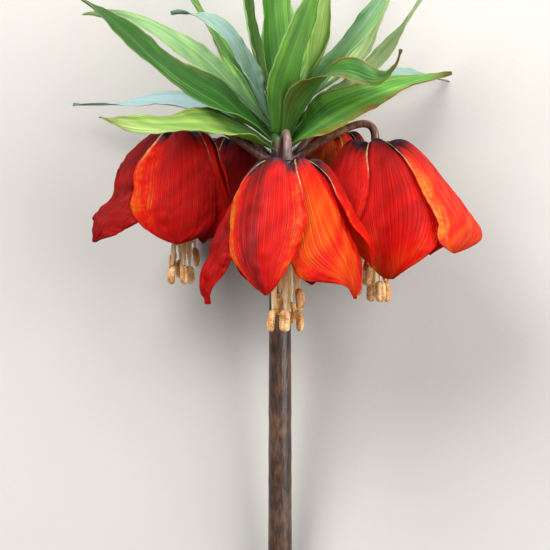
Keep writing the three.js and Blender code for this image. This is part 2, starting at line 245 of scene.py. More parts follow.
# Ends a material: inputs of its body and its relief, then the share and colour of light it lets
# through.
def closeMaterial(add, body, relief, share=0, lit=None):
    normal = add("Bump", relief)
    surface = add("BsdfPrincipled", {"Normal": normal, **body})
    if share:
        through = add("BsdfTranslucent", {"Color": lit, "Normal": normal})
        surface = add("MixShader", [share, surface, through])
    add("OutputMaterial", {"Surface": surface})


# The tepals: the coloured leaves of a bell, three outer ones and three inner ones.
tepalForm = {
    "rows": 110,
    "columns": 34,
    "thickness": 0.5,
    "tipFrom": 0.93,  # share of the length where the tip's rounding begins
    "layerGap": 1.15,  # outer ones stand this far outside the bell's mean form, inner ones inside
    "lobeDepth": 5.0,  # of the creases between them at the crest
    "mouthFlare": 13.0,
    "mouthRise": 4.5,  # how far a flared tip lifts
    "edgeCurl": 0.6,
    "edgeWave": 0.5,
    "frill": 0.016,  # share of the width by which the lower rims are nibbled
    "midribDepth": 0.3,
    "ribDepth": 0.08,
    "pucker": 0.22,
    "gaps": (0.4, 1.9),  # that outer and inner ones keep from the table and from the next bell
    "bend": 4.0,  # how far from the next bell they begin to bend
    "crestReach": 0.258,  # share of the length that is dark at the crest
    "topShade": 0.3,  # how much less orange the upper half is
    "seed": 11,
}

# From a tepal's root to its tip: radius from the bell's axis, depth below the stalk, half width
# when pointed and half width when blunt.
tepalCourse = [
    (1.6, 0.5, 2.2, 2.2),
    (7.0, -2.8, 6.4, 6.4),
    (12.2, -2.6, 9.2, 9.2),
    (16.4, 3.8, 12.6, 12.4),
    (18.8, 13.0, 16.2, 15.6),
    (21.0, 22.0, 18.2, 17.6),
    (23.2, 32.0, 17.0, 18.2),
    (24.4, 41.0, 13.0, 17.6),
    (24.0, 49.5, 7.4, 14.4),
    (22.8, 57.0, 1.4, 5.0),
]

# Place of each bell's stalk end, size, azimuth of its first tepal and its filaments' length. Form
# of each tepal: flare at the mouth, stand-off halfway, drop of its tip, swing of its tip, bluntness
# and how ragged its rim is. Its colour: warmth (0 burgundy, 1 orange), what its left rim, right rim
# and tip add, its pale painted sheen, and how much warmer its right half is than its left, which
# paints light on one side of its fold and shade on the other. The rims' orange is partly painted
# glow of light shining through, and several warmths are raised as painted light, so that tepals
# lying in shade look lit. "skirt" broadens a tepal's left side low down by that share. "dent"
# presses one in: where, over what share of it, and how deep.
bells = {
    "front": {
        "at": (3, -47, -14.5), "size": 0.98, "turn": -26, "filament": 54,
        "skirt": {1: 0.45}, "dent": {5: (0.74, 0.06, 2)},
        "forms": (
            (0.1, 4, -2.5, 8, 0.1, 1), (1.1, 2, 1.6, 18, 0.9, 2.5), (0.55, 5, -12, -8, 0.5, 1),
            (0.4, 0, -5, 0, 0.4, 1), (0.3, 0, -6, 0, 0.3, 1), (1, 4, 4, 11, -0.35, 8),
        ),
        "colours": (
            (0.46, 0.62, 0.16, -0.06, 0.2, 0.28), (0.66, 0, 0.1, -0.08, 0.04, -0.3),
            (0.72, 0, 0.1, 0, 0, 0.2), (0.3, 0.1, 0.1, 0, 0, 0),
            (0.25, 0.1, 0.1, 0, 0, 0), (0.3, 0.05, 0.05, 0.1, 0.05, 0),
        ),
    },
    "right": {
        "at": (42, -12, -3.5), "size": 1.0, "turn": 62, "filament": 52,
        "forms": (
            (1.35, 7, -4, -24, 1.1, 1), (0.5, 3, -8, 0, 0.3, 1), (0.1, 0, 0, 0, 0.3, 1),
            (0.1, 0, 0, 0, 0.3, 1), (0.3, 1, 0, 0, 0.2, 1), (0.1, 0, 2.4, 9, 0.1, 1),
        ),
        "colours": (
            (0.7, 0.2, 0, 0.05, 0.3, 0), (0.6, 0.1, 0.2, 0, 0.1, 0),
            (0.4, 0.1, 0.1, 0, 0, 0), (0.35, 0.1, 0.1, 0, 0, 0),
            (0.44, -0.2, 0.16, 0.1, 0.05, 0), (0.46, 0.32, 0.02, 0.26, 0.03, -0.06),
        ),
    },
    "left": {
        "at": (-43, -12, 1.5), "size": 0.88, "turn": 2, "filament": 58,
        "dent": {5: (0.67, 0.085, 4)},
        "forms": (
            (0.05, 0, -2.5, -4, 1.2, 1), (0.4, 0, -2, 0, 0.3, 1), (0.2, 0, 0, 0, 0.3, 1),
            (0.2, 2, 0, 0, 0.3, 1), (0.8, 4, -8, 0, 0.3, 1), (0.95, 14, 0.6, 0, 0.5, 8),
        ),
        "colours": (
            (0.45, 0.3, 0.03, -0.03, 0.03, 0), (0.6, 0.15, 0.1, 0, 0.05, 0),
            (0.4, 0.1, 0.1, 0, 0, 0), (0.3, 0.1, 0.1, 0, 0, 0),
            (0.25, 0.1, 0.1, 0, 0.2, 0), (0.22, 0.04, 0.1, 0.04, 0.08, 0),
        ),
    },
    "back_left": {
        "at": (-22, 26, 2), "size": 0.85, "turn": 20, "filament": 52,
        "forms": (
            *[(0.2, 0, 0, 0, 0.2, 1)] * 3, *[(0.5, 0, 0, 0, 0.2, 1)] * 2, (0.4, 0, 0, 0, 0.2, 1),
        ),
        "colours": (
            (0.28, 0.15, 0.1, 0, 0.05, 0), (0.34, 0.1, 0.1, 0, 0, 0),
            (0.4, 0.15, 0.15, 0, 0.1, 0), (0.45, 0.15, 0.15, 0, 0.1, 0),
            (0.4, 0.15, 0.15, 0, 0.1, 0), (0.3, 0.1, 0.1, 0, 0, 0),
        ),
    },
    "back_right": {
        "at": (25, 26, 5), "size": 0.88, "turn": -30, "filament": 52,
        "forms": (
            (0.2, 0, 0, 0, 0.2, 1), (0.4, 0, 0, 0, 0.2, 1),
            *[(0.5, 0, 0, 0, 0.2, 1)] * 2, *[(0.2, 0, 0, 0, 0.2, 1)] * 2,
        ),
        # painted sunlight: these tepals are made much warmer than the other bells' so that they
        # look sunlit where leaves shade them
        "colours": (
            (0.92, 0.1, 0.1, 0, 0.2, 0), (0.9, 0.15, 0.15, 0, 0.2, 0),
            (0.5, 0.15, 0.15, 0, 0.1, 0), (0.45, 0.15, 0.15, 0, 0.1, 0),
            (0.4, 0.1, 0.1, 0, 0, 0), (0.86, 0.1, 0.1, 0, 0.2, 0),
        ),
    },
}


def opened(v, flare):
    return ease(v, 0.38 - 0.15 * flare, 1)


def standOff(v, flare, spread):
    return tepalForm["mouthFlare"] * flare * opened(v, flare) ** 1.4 + spread * ease(v, 0.12, 0.52)


# A tepal's own value at its ridge and, between ridges, one that both share, so inner ones stay
# beneath.
def shared(bell, item, angle):
    x = angle / sixth + 6
    k = np.floor(x).astype(int)
    t = x - k
    weight = np.where(k % 2 == 0, ease(t, 0.55, 1), ease(t, 0, 0.45))
    values = np.array([form[item] for form in bell["forms"]], dtype=float)
    return mix(values[k % 6], values[(k + 1) % 6], weight)


def tepalMiddle(bell, k, seed):
    form = tepalForm
    v, u = np.meshgrid(
        np.linspace(0, 1, form["rows"] + 1), np.linspace(-1, 1, form["columns"] + 1), indexing="ij"
    )
    left = u < 0
    ownFlare, ownSpread, drop, swing, blunt, ragged = bell["forms"][k]
    radius, depth, pointed, bluntWidth = np.moveaxis(along(tepalCourse, v), -1, 0)
    edge = np.where(left, uneven(v * 9, seed), uneven(v * 9, seed + 500))
    edge += 0.4 * np.where(left, uneven(v * 34, seed + 1), uneven(v * 34, seed + 501))
    skirt = bell.get("skirt", {}).get(k, 0) * ease(v, 0.5, 0.75) * ease(v, 1, 0.8)
    half = mix(pointed, bluntWidth, blunt) * (1 + skirt * left) * roundTip(v, form["tipFrom"], 0.01)
    across = u * half / np.maximum(radius + standOff(v, ownFlare, ownSpread), 5)
    nibbled = across * form["frill"] * ragged * edge * ease(v, 0.35, 0.65) * u * u
    angle = across + math.radians(swing) * np.maximum(0, (v - 0.2) / 0.8) ** 3
    fromRidge = abs((across / sixth + 1.5) % 1 - 0.5) * 2
    lobe = form["lobeDepth"] * ease(v, 0.45, 0.1) * fromRidge**2
    curl = form["edgeCurl"] * ease(v, 0.4, 0.7) * u * u
    phase = 2 * math.pi * (3.1 * v + 0.37 * k) + 2 * u + 2 * v
    free = 1 + 0.5 * (ragged - 1) * left
    wave = form["edgeWave"] * free * np.sin(phase) * u * u * ease(v, 0.3, 0.6)
    layer = (1 if k % 2 == 0 else -1) * form["layerGap"] * ease(v, 0, 0.14)
    # fine relief: a sunken midrib, shallow lengthwise ribs and a little puckering
    relief = -form["midribDepth"] * np.exp(-((u / 0.04) ** 2)) * ease(v, 0, 0.2) * ease(v, 1, 0.85)
    relief += form["ribDepth"] * np.sin(u * 29 + 2 * np.sin(3 * v)) * ease(v, 0, 0.2)
    pucker = form["pucker"] * (0.7 + 0.3 * ragged) * ease(v, 0.2, 0.5)
    relief += pucker * uneven(v * 13 + 3 * u, seed + 40) * uneven(u * 4, seed + 41)
    at, length, deep = bell.get("dent", {}).get(k, (0.5, 1, 0))
    relief -= deep * np.exp(-(((v - at) / length) ** 2)) * ease(u, 0.6, 0.1)
    around = sixth * k + angle
    flare, spread = shared(bell, 0, around), shared(bell, 1, around)
    reach = radius + standOff(v, flare, spread) + layer - lobe - curl + wave + relief
    points = outward(math.radians(bell["turn"]) + around + nibbled) * reach[..., None]
    rise = form["mouthRise"] * flare * opened(v, flare) ** 2
    points[..., 2] = rise - depth - drop * ease(v, 0.4, 1) - 0.85 * lobe * ease(v, 0, 0.1)
    return points * bell["size"] + bell["at"], u, v


# Where bells crowd, and on the table, tepals are pressed flat instead of passing through.
def pressed(name, points, k):
    gap = tepalForm["gaps"][k % 2]
    here = np.array(bells[name]["at"]) * (1, 1, 0)
    for other, bell in bells.items():
        if other == name:
            continue
        there = np.array(bell["at"]) * (1, 1, 0)
        away = (here - there) / np.linalg.norm(here - there)
        between = -away @ (here + there) / 2
        points = keepOff(points, away, between, gap + plant["joint"], tepalForm["bend"])
    return restOnTable(points, gap)


# What the petal skin's colour follows, over one tepal.
def tepalColours(bell, k, u, v, seed):
    warmth, left, right, tip, paintedSheenWeight, foldShade = bell["colours"][k]
    # the rims' orange is partly the tepals' own colour and partly painted glow of light shining
    # through them
    rim = ease(abs(u), 0.4, 0.95) * ease(v, 0.2, 0.45) * (1 - 0.6 * ease(v, 0.85, 0.97))
    tone = warmth + np.where(u < 0, left, right) * rim + tip * ease(v, 0.6, 0.95)
    # painted light and shade: the tone steps up on one side of a tepal's fold and down on the other
    crease = 2 * bell.get("skirt", {}).get(k, 0) * v
    tone += foldShade * (ease(u - crease, -0.03, 0.03) - 0.5) * ease(v, 0.1, 0.3)
    tone -= tepalForm["topShade"] * ease(v, 0.5, 0.16)
    tone += 0.06 * uneven(v * 9 + 2 * u, seed + 60) + 0.04 * uneven(u * 9 + v, seed + 61)
    dark = tepalForm["crestReach"] + 0.08 * u * u + 0.025 * uneven(u * 5, seed + 62)
    patches = 0.55 + 0.45 * ease(uneven(v * 5 + 3 * u, seed + 63), 0, 1)
    broken = 0.75 + 0.25 * uneven(v * 30, seed + 64)
    return {
        "tone": np.clip(tone, 0, 1),
        "rim": rim,
        "crest": ease(v, dark + 0.1, dark - 0.1),
        "seam": ease(v, 0.12, 0.2) * ease(v, 0.5, 0.34) * broken,
        # where a pale painted sheen lies, in patches
        "paintedSheen": np.clip(paintedSheenWeight * ease(v, 0.1, 0.35) * patches, 0, 1),
        "piece": np.full_like(u, 3.7 * seed),
    }


def bellObject(name, material):
    bell = bells[name]
    blades = []
    for k in range(6):
        seed = tepalForm["seed"] + 17 * list(bells).index(name) + k
        middle, u, v = tepalMiddle(bell, k, seed)
        thinned = 1 - 0.6 * ease(abs(u), 0.8, 1) * ease(v, 0, 0.2)
        thickness = tepalForm["thickness"] * thinned * (1 - 0.5 * ease(v, 0.9, 1))
        layers = tepalColours(bell, k, u, v, seed)
        blades.append(bladeParts(pressed(name, middle, k), thickness, layers))
    item = bladesObject(f"tepals_{name}", blades, material)
    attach(item, "root")
    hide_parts(f"bell_{name}")


# Living petal skin: a matt satin that light shines through, with fine veins from root to tip. The
# crest is nearly black under a painted grey-lilac sheen, some tepals carry a pale pink painted
# sheen, and the rims that show at the seams above are cream.
def petalSkin():
    material, add = emptyMaterial("petalSkin")
    piece, tone, crest, seam, paintedSheen, rim, inside = (
        add("Attribute", attribute_name=layer).outputs["Fac"]
        for layer in ("piece", "tone", "crest", "seam", "paintedSheen", "rim", "side")
    )
    point = add("TexCoord").outputs["Object"]
    uv = add("UVMap", uv_map="blade")
    place = add("SeparateXYZ", [uv])
    # streaks about 1 mm wide at a tepal's widest, 36 mm, and two fifths of its length long
    long = add("Mapping", {"Vector": uv, "Scale": (36, 2.4, 1)})
    streak = add(
        "TexNoise", {"Vector": long, "W": piece, "Scale": 1, "Detail": 3, "Roughness": 0.6},
        noise_dimensions="4D",
    )
    # veins 1 mm apart at the widest, wandering a little and broken along the streaks
    lines = add("Mapping", {"Vector": uv, "Scale": (1, 0.12, 1)})
    wandering = {"Distortion": 1.3, "Detail": 2, "Detail Scale": 1.6}
    wave = add(
        "TexWave", {"Vector": lines, "Scale": 11.4, "Phase Offset": piece, **wandering},
        bands_direction="X",
    )
    vein = add("MapRange", [wave.outputs["Fac"], 0.66, 1])
    broken = add("MapRange", [streak, 0.36, 0.6])
    vein = add("Math", [vein, broken], operation="MULTIPLY")
    spread = add("MapRange", [streak, 0.3, 0.7, -0.09, 0.1])
    tone = add("Math", [tone, spread])
    # blotches about 2 mm across in the rims
    blotch = add("TexNoise", {"Vector": point, "Scale": 480, "Detail": 2})
    blotch = add("MapRange", [blotch, 0.3, 0.7, -0.12, 0.1])
    tone = add("Math", [blotch, rim, tone], operation="MULTIPLY_ADD")
    colour = add(
        "ValToRGB", [tone],
        stops={
            0: "4f0705", 0.18: "820c08", 0.34: "a80e08", 0.5: "cc0e07",
            0.64: "de1907", 0.76: "e23c08", 0.88: "e2600b", 1: "ea8a18",
        },
    )
    calm = add("MapRange", [rim, 0, 1, 0.62, 0.3])
    veined = add("Math", [vein, calm], operation="MULTIPLY")
    # the inner face is deeper, and dark towards the root
    throat = add("MapRange", [place.outputs[1], 0.7, 0.25])
    inner = add("Mix", [throat, "a1120b", "320a08"], data_type="RGBA")
    inward = add("Math", [inside, 0.45], operation="MULTIPLY")
    # a pale pink painted sheen, drawn in fine streaks
    pale = add("MapRange", [streak, 0.42, 0.68, 0, 0.75])
    paintedSheenShare = add("Math", [paintedSheen, pale], operation="MULTIPLY")
    # the dark of the crest runs down the streaks
    edge = add("MapRange", [streak, 0.35, 0.65, -0.16, 0.16])
    dark = add("Math", [crest, edge])
    dark = add("MapRange", [dark, 0.2, 0.85, 0, 0.95], interpolation_type="SMOOTHSTEP")
    # painted grey-lilac sheen over the dark crest, laid on in powdery patches
    powder = add("TexNoise", {"Vector": point, "Scale": 190, "Detail": 3})
    paintedSheenWeight = add("MapRange", [powder, 0.44, 0.68, 0, 0.5])
    crestColour = add("Mix", [paintedSheenWeight, "130c11", "5a5166"], data_type="RGBA")
    # a pale rim, about 0.6 mm wide, shows at the seams between the tepals' upper halves
    fromMiddle = add("Math", [place.outputs[0], 0.5], operation="SUBTRACT")
    fromMiddle = add("Math", [fromMiddle], operation="ABSOLUTE")
    edge = add("MapRange", [fromMiddle, 0.47, 0.488, 0, 0.85])
    seamed = add("Math", [edge, seam], operation="MULTIPLY")
    for share, over in (
        (veined, "860c07"), (inward, inner), (paintedSheenShare, "d8949a"),
        (dark, crestColour), (seamed, "e0bd86"),
    ):
        colour = add("Mix", [share, colour, over], data_type="RGBA")
    # the skin's cells, drawn 0.4 mm wide to show, and the sunken veins
    cells = add("TexNoise", {"Vector": point, "Scale": 2200, "Detail": 1})
    height = add("Math", [streak, vein], operation="SUBTRACT")
    height = add("Math", [cells, 0.25, height], operation="MULTIPLY_ADD")
    rough = add("MapRange", [powder, 0.3, 0.7, 0.46, 0.66])
    lit = add("Mix", [0.35, colour, "ff2c08"], data_type="RGBA")
    lit = add("Mix", [dark, lit, "170f16"], data_type="RGBA")
    body = {"Base Color": colour, "Roughness": rough, "Specular IOR Level": 0.12}
    closeMaterial(add, body, {"Height": height, "Distance": 0.00022}, 0.5, lit)
    return material


# What all leaves share. They lie on the table as the solids do, so by the solids' thickness.
leafForm = {
    "rows": 120,
    "columns": 22,
    "thickness": 0.55,
    "solidThickness": 0.8,
    "widestAt": 0.32,
    "tipFrom": 0.985,
    "rootWidth": 0.26,
    "broadRoots": {2: 0.4, 9: 0.55, 12: 0.5, 14: 0.5, 15: 0.36, 18: 0.6},  # by leaf, where broader
    # the brown of these lower sides is partly the leaf's own and partly painted shade where the
    # blade turns away
    "brownFolds": {2: 0.7, 7: 0.25},  # by leaf, how brown its lower side is
    "wave": 1.1,
    "ripple": 0.2,  # of the rims
    "midribDepth": 0.4,
    "foldDepth": 0.1,
    "seed": 71,
}

# Depth of the green, grey-blue bloom with painted sheen, and lime.
leafLooks = {
    "dark": (1.1, 0.02, 0.0),
    "deep": (0.85, 0.04, 0.0),
    "mid": (0.5, 0.08, 0.1),
    "bright": (0.3, 0.05, 0.35),
    "blue": (0.4, 1.2, 0.0),
    "pale": (0.54, 0.04, 0.9),
    "lime": (0.34, 0.05, 0.85),
    "fresh": (0.3, 0.32, 0.4),
    "bloomAndSheen": (0.2, 0.5, 0.08),
    "silver": (0.2, 0.95, 0.05),
    "sunlit": (0.02, 0.22, 0.8),
    "light": (0.14, 0.12, 0.35),
}

# The crown's leaves, numbered as the solids are: height of the root, length, width, look, how brown
# the rims are, and then heading, slope and roll at root, one third, two thirds and tip.
crownLeaves = [
    (-2.5, 92, 24, "pale", 0.35, (-50, 16, -40), (-42, 5, -31), (-52, -5, -32), (-65, 16, -66)),
    (-2.6, 81, 26, "mid", 1.0, (56, 31, 34), (70, 27, 57), (70, 18, 38), (72, 8, 46)),
    (1, 112, 15, "silver", 0.1, (131, 41, -3), (124, 33, 1), (127, 8, 30), (129, -9, 44)),
    (2, 108, 20, "blue", 0.1, (-112, 39, -12), (-113, 15, -35), (-114, 0, -21), (-112, 3, -11)),
    (4, 98, 13, "mid", 0.2, (166, 48, 0), (166, 41, 0), (165, 33, 0), (164, 28, 0)),
    (1, 98, 15, "mid", 0.2, (-159, 38, 0), (-158, 37, 0), (-156, 33, 0), (-155, 28, 0)),
    (0, 94, 18, "deep", 1.0, (29, 58, -16), (42, 34, 15), (39, -21, 44), (18, 62, 34)),
    (1.4, 112, 25, "dark", 0.25, (-66, 33, -30), (-63, 26, -46), (-65, 40, -47), (-70, 23, -35)),
    (3, 103, 15, "sunlit", 0.1, (98, 43, 2), (100, 38, 22), (101, 56, 18), (100, 60, 6)),
    (5, 112, 18, "mid", 0.2, (-132, 58, 0), (-122, 54, 4), (-120, 54, 8), (-118, 52, 12)),
    (7, 104, 20, "mid", 0.2, (180, 60, 0), (180, 57, 0), (180, 54, 0), (180, 52, 0)),
    (9, 106, 19, "bloomAndSheen", 0.1, (80, 47, 11), (85, 52, 35), (85, 57, 26), (82, 55, 6)),
    (9, 74, 15, "silver", 0.1, (-84, 56, -12), (-89, 70, -26), (-101, 42, -36), (-95, -10, 1)),
    (15, 112, 15, "bright", 0.1, (148, 58, 0), (148, 62, -6), (146, 62, -12), (144, 60, -16)),
    (4, 105, 25, "mid", 0.2, (8, 54, 11), (38, 63, 23), (52, 76, 18), (60, 74, -5)),
    (16, 116, 14, "light", 0.1, (-142, 50, 19), (-135, 76, 26), (-138, 86, 3), (-130, 81, 8)),
    (19, 121, 23, "mid", 0.1, (190, 62, -3), (206, 82, 26), (201, 87, 22), (191, 87, 11)),
    (14, 92, 13, "sunlit", 0.1, (116, 33, 0), (116, 36, 6), (116, 63, 12), (114, 66, 10)),
    (14, 113, 18, "lime", 0.2, (66, 40, 12), (71, 80, 46), (73, 82, 15), (70, 77, -18)),
    (7, 106, 14, "fresh", 0.25, (-92, 42, -20), (-100, 44, -34), (-99, 28, -50), (-96, -4, -56)),
]


def leafMiddle(number, leaf, seed):
    form = leafForm
    rows = form["rows"]
    root, length, width, _, _, *course = leaf
    s = np.linspace(0, 1, rows + 1)

    def tangentAt(s):
        heading, slope = np.radians(along(course, s)[..., :2]).T
        direction = outward(heading) * np.cos(slope)[:, None]
        direction[:, 2] = np.sin(slope)
        return direction

    core = mix(plant["stemTopRadius"], plant["coreTipRadius"], root / plant["coreHeight"])
    clear = core + plant["joint"] + form["solidThickness"] / 2
    start = outward(math.radians(course[0][0])) * clear
    start[2] = root
    steps = tangentAt(s[1:] - 0.5 / rows) * length / rows
    middle = np.vstack([start, start + np.cumsum(steps, axis=0)])
    tangent = tangentAt(s)
    heading, _, roll = np.radians(along(course, s)).T
    level = np.stack([np.cos(heading), np.sin(heading), np.zeros_like(s)], axis=-1)
    turn = roll[:, None]
    across = level * np.cos(turn) + np.cross(tangent, level) * np.sin(turn)
    across += tangent * np.sum(tangent * level, axis=1, keepdims=True) * (1 - np.cos(turn))
    inner = np.cross(tangent, across)
    widest = form["widestAt"]
    swell = mix(form["broadRoots"].get(number, form["rootWidth"]), 1, ease(s, 0, widest))
    taper = 1 - np.maximum(0, (s - widest) / (1 - widest)) ** 1.7
    half = np.maximum(0.5, width / 2 * swell * taper) * roundTip(s, form["tipFrom"], 0.02)
    channel = (0.16 + 0.38 * ease(s, 0.7, 0)) * (0.6 + 0.4 * ease(s, 0, 0.1))
    u = np.linspace(-1, 1, form["columns"] + 1)[None, :]
    s, half, channel = s[:, None], half[:, None], channel[:, None]
    phase = 2 * math.pi * (2.4 * s + 0.17 * course[0][0]) + 1.3 * u
    ripple = np.where(u < 0, uneven(s * 16, seed), uneven(s * 16, seed + 9))
    wave = form["wave"] * np.sin(phase) * ease(s, 0, 0.4)
    wave = wave + form["ripple"] * ripple * ease(s, 0, 0.2)
    # a sunken midrib, and shallow folds between the stronger veins
    relief = -form["midribDepth"] * np.exp(-((u / 0.08) ** 2)) * (1 - 0.8 * s)
    relief = relief + form["foldDepth"] * np.sin(u * 11 + 1.5) * ease(s, 0, 0.2)
    sink = (channel * half + wave) * u * u + relief * ease(half, 0, 4)
    side = u * half * (1 + 0.008 * uneven(s * 30 + 4 * np.sign(u), seed + 5))
    points = middle[:, None] + across[:, None] * side[..., None] + inner[:, None] * sink[..., None]
    return restOnTable(points, form["solidThickness"] / 2), u + 0 * s, s + 0 * u


def leafObject(number, leaf, material):
    form = leafForm
    look, brown = leaf[3:5]
    depth, bloomAndSheen, lime = leafLooks[look]
    seed = form["seed"] + number
    middle, u, s = leafMiddle(number, leaf, seed)
    thinned = (1 - 0.6 * ease(abs(u), 0.75, 1)) * (1 - 0.4 * ease(s, 0.9, 1))
    dryAndShade = ease(s, 0.86, 1) + 0.9 * ease(abs(u), 0.72, 1) * ease(s, 0.2, 0.5)
    # browned lower sides, partly painted shade
    dryAndShade += form["brownFolds"].get(number, 0) * ease(u, -0.15, -0.6) * ease(s, 0.03, 0.18)
    # lime leaves are darker near the root as painted shade, and paler towards the tip
    depth = depth + lime * (0.7 * ease(s, 0.4, 0.1) - 0.3 * ease(s, 0.6, 0.9))
    depth += 0.12 * uneven(u * 5 + s, seed + 20) + 0.1 * uneven(s * 8 + u, seed + 21)
    layers = {
        "depth": np.clip(depth, 0, 1),
        "bloomAndSheen": np.clip(bloomAndSheen * (0.85 + 0.2 * uneven(s * 7 + 2 * u, seed + 22)), 0, 1),
        "lime": np.clip(lime + 0.1 * uneven(s * 6 + 3 * u, seed + 23), 0, 1),
        "dryAndShade": np.clip(brown * dryAndShade * (0.8 + 0.4 * uneven(s * 16 + 2 * u, seed + 24)), 0, 1),
        "piece": np.full_like(u, 7.3 * number),
    }
    blades = [bladeParts(middle, form["thickness"] * thinned, layers)]
    item = bladesObject(f"leaf_{number:02d}", blades, material)
    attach(item, "root")
    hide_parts(f"crown_leaf_{number:02d}")


# Fleshy lily-family leaf: waxy satin, even parallel veins, a pale gristly rim and a matter
# underside. A grey-blue layer lies over some, partly a waxy bloom that blurs the gloss and partly
# painted sheen and painted sky reflection, and the roots are darkened as painted shade.
def leafSkin():
    material, add = emptyMaterial("leafSkin")
    piece, depth, bloomAndSheen, lime, dryAndShade, under = (
        add("Attribute", attribute_name=layer).outputs["Fac"]
        for layer in ("piece", "depth", "bloomAndSheen", "lime", "dryAndShade", "side")
    )
    uv = add("UVMap", uv_map="blade")
    place = add("SeparateXYZ", [uv])
    # stripes about 2 mm wide at the widest, 25 mm, and as long as the leaf
    long = add("Mapping", {"Vector": uv, "Scale": (12, 0.8, 1)})
    stripe = add(
        "TexNoise", {"Vector": long, "W": piece, "Scale": 1, "Detail": 4, "Roughness": 0.65},
        noise_dimensions="4D",
    )
    # finer ones, 0.6 mm wide
    fine = add("Mapping", {"Vector": uv, "Scale": (42, 1.1, 1)})
    fine = add(
        "TexNoise", {"Vector": fine, "W": piece, "Scale": 1, "Detail": 2, "Roughness": 0.6},
        noise_dimensions="4D",
    )
    # parallel veins 0.9 mm apart at the widest
    lines = add("Mapping", {"Vector": uv, "Scale": (1, 0.1, 1)})
    wandering = {"Distortion": 1, "Detail": 1}
    wave = add(
        "TexWave", {"Vector": lines, "Scale": 8.8, "Phase Offset": piece, **wandering},
        bands_direction="X",
    )
    vein = add("MapRange", [wave.outputs["Fac"], 0.5, 1])
    spread = add("MapRange", [stripe, 0.3, 0.7, -0.3, 0.3])
    tone = add("Math", [depth, spread], operation="SUBTRACT")
    spread = add("MapRange", [fine, 0.3, 0.7, 0.2, -0.2])
    tone = add("Math", [tone, spread])
    colour = add(
        "ValToRGB", [tone], stops={0: "8ecb3a", 0.35: "62a924", 0.65: "42871c", 1: "22520f"}
    )
    limeGreen = add(
        "ValToRGB", [tone], stops={0: "cad494", 0.25: "a6b865", 0.5: "88a646", 1: "587e2a"}
    )
    beneath = add("Math", [under, 0.25], operation="MULTIPLY")
    veined = add("Math", [vein, 0.26], operation="MULTIPLY")
    # a grey-blue waxy bloom with painted sheen and sky reflection on it, in lengthwise stripes
    waxed = add("MapRange", [stripe, 0.3, 0.65, 0.7, 1])
    waxed = add("Math", [waxed, bloomAndSheen], operation="MULTIPLY")
    fromMiddle = add("Math", [place.outputs[0], 0.5], operation="SUBTRACT")
    fromMiddle = add("Math", [fromMiddle], operation="ABSOLUTE")
    midrib = add("MapRange", [fromMiddle, 0.02, 0.004, 0, 0.35])
    rim = add("MapRange", [fromMiddle, 0.47, 0.492, 0, 0.4])
    # painted shade: the leaves darken towards their roots, where the crown's leaves shade one
    # another
    root = add("MapRange", [place.outputs[1], 0.26, 0.02, 0, 0.55])
    ragged = add("MapRange", [stripe, 0.35, 0.6, 0.45, 1.1])
    dryAndShadeShare = add("Math", [dryAndShade, ragged], operation="MULTIPLY", use_clamp=True)
    for share, over in (
        (lime, limeGreen), (beneath, "7fa04c"), (veined, "1c4614"),
        (waxed, "9db2be"), (midrib, "94b45e"), (rim, "b9cc8e"),
        (root, "2f641c"), (dryAndShadeShare, "8a5f26"),
    ):
        colour = add("Mix", [share, colour, over], data_type="RGBA")
    height = add("Math", [vein, -0.6, stripe], operation="MULTIPLY_ADD")
    height = add("Math", [fine, 0.5, height], operation="MULTIPLY_ADD")
    rough = add("MapRange", [bloomAndSheen, 0, 1, 0.36, 0.58])
    bare = add("MapRange", [waxed, 0, 0.7, 0.5, 0])
    lit = add("Mix", [bare, colour, "b0d830"], data_type="RGBA")
    body = {"Base Color": colour, "Roughness": rough, "Specular IOR Level": 0.26}
    closeMaterial(add, body, {"Height": height, "Distance": 0.00018}, 0.32, lit)
    return material


# Sweeps a round section along each line of a mesh, by the radius stored on its points.
def sweptTree(name, sides, material):
    tree = bpy.data.node_groups.new(name, "GeometryNodeTree")
    tree.interface.new_socket("Geometry", in_out="INPUT", socket_type="NodeSocketGeometry")
    sidesIn = tree.interface.new_socket("Sides", in_out="INPUT", socket_type="NodeSocketInt")
    tree.interface.new_socket("Geometry", in_out="OUTPUT", socket_type="NodeSocketGeometry")
    add = partial(addNode, tree)
    start = add("NodeGroupInput")
    curve = add("MeshToCurve", [start.outputs["Geometry"]])
    radius = add("InputNamedAttribute", {"Name": "radius"}, data_type="FLOAT")
    curve = add("SetCurveRadius", {"Curve": curve, "Radius": radius})
    circle = add("CurvePrimitiveCircle", {"Resolution": start.outputs["Sides"], "Radius": 1})
    tube = add(
        "CurveToMesh", {"Curve": curve, "Profile Curve": circle, "Scale": radius, "Fill Caps": True}
    )
    whole = add("RealizeInstances", {"Geometry": tube})
    whole = add("SetMaterial", {"Geometry": whole, "Material": material})
    add("NodeGroupOutput", {"Geometry": whole})
    return tree, {sidesIn.identifier: sides}


# Runs a tree on an object and returns the result as a plain mesh object.
def grown(item, tree, inputs):
    modifier = item.modifiers.new(tree.name, "NODES")
    modifier.node_group = tree
    for identifier, value in inputs.items():
        modifier[identifier] = value
    item.update_tag()
    bpy.context.view_layer.update()
    graph = bpy.context.evaluated_depsgraph_get()
    mesh = bpy.data.meshes.new_from_object(item.evaluated_get(graph))
    name = item.name
    bpy.data.objects.remove(item)
    mesh.polygons.foreach_set("use_smooth", np.ones(len(mesh.polygons), dtype=bool))
    mesh.update()
    return linkedObject(name, mesh)


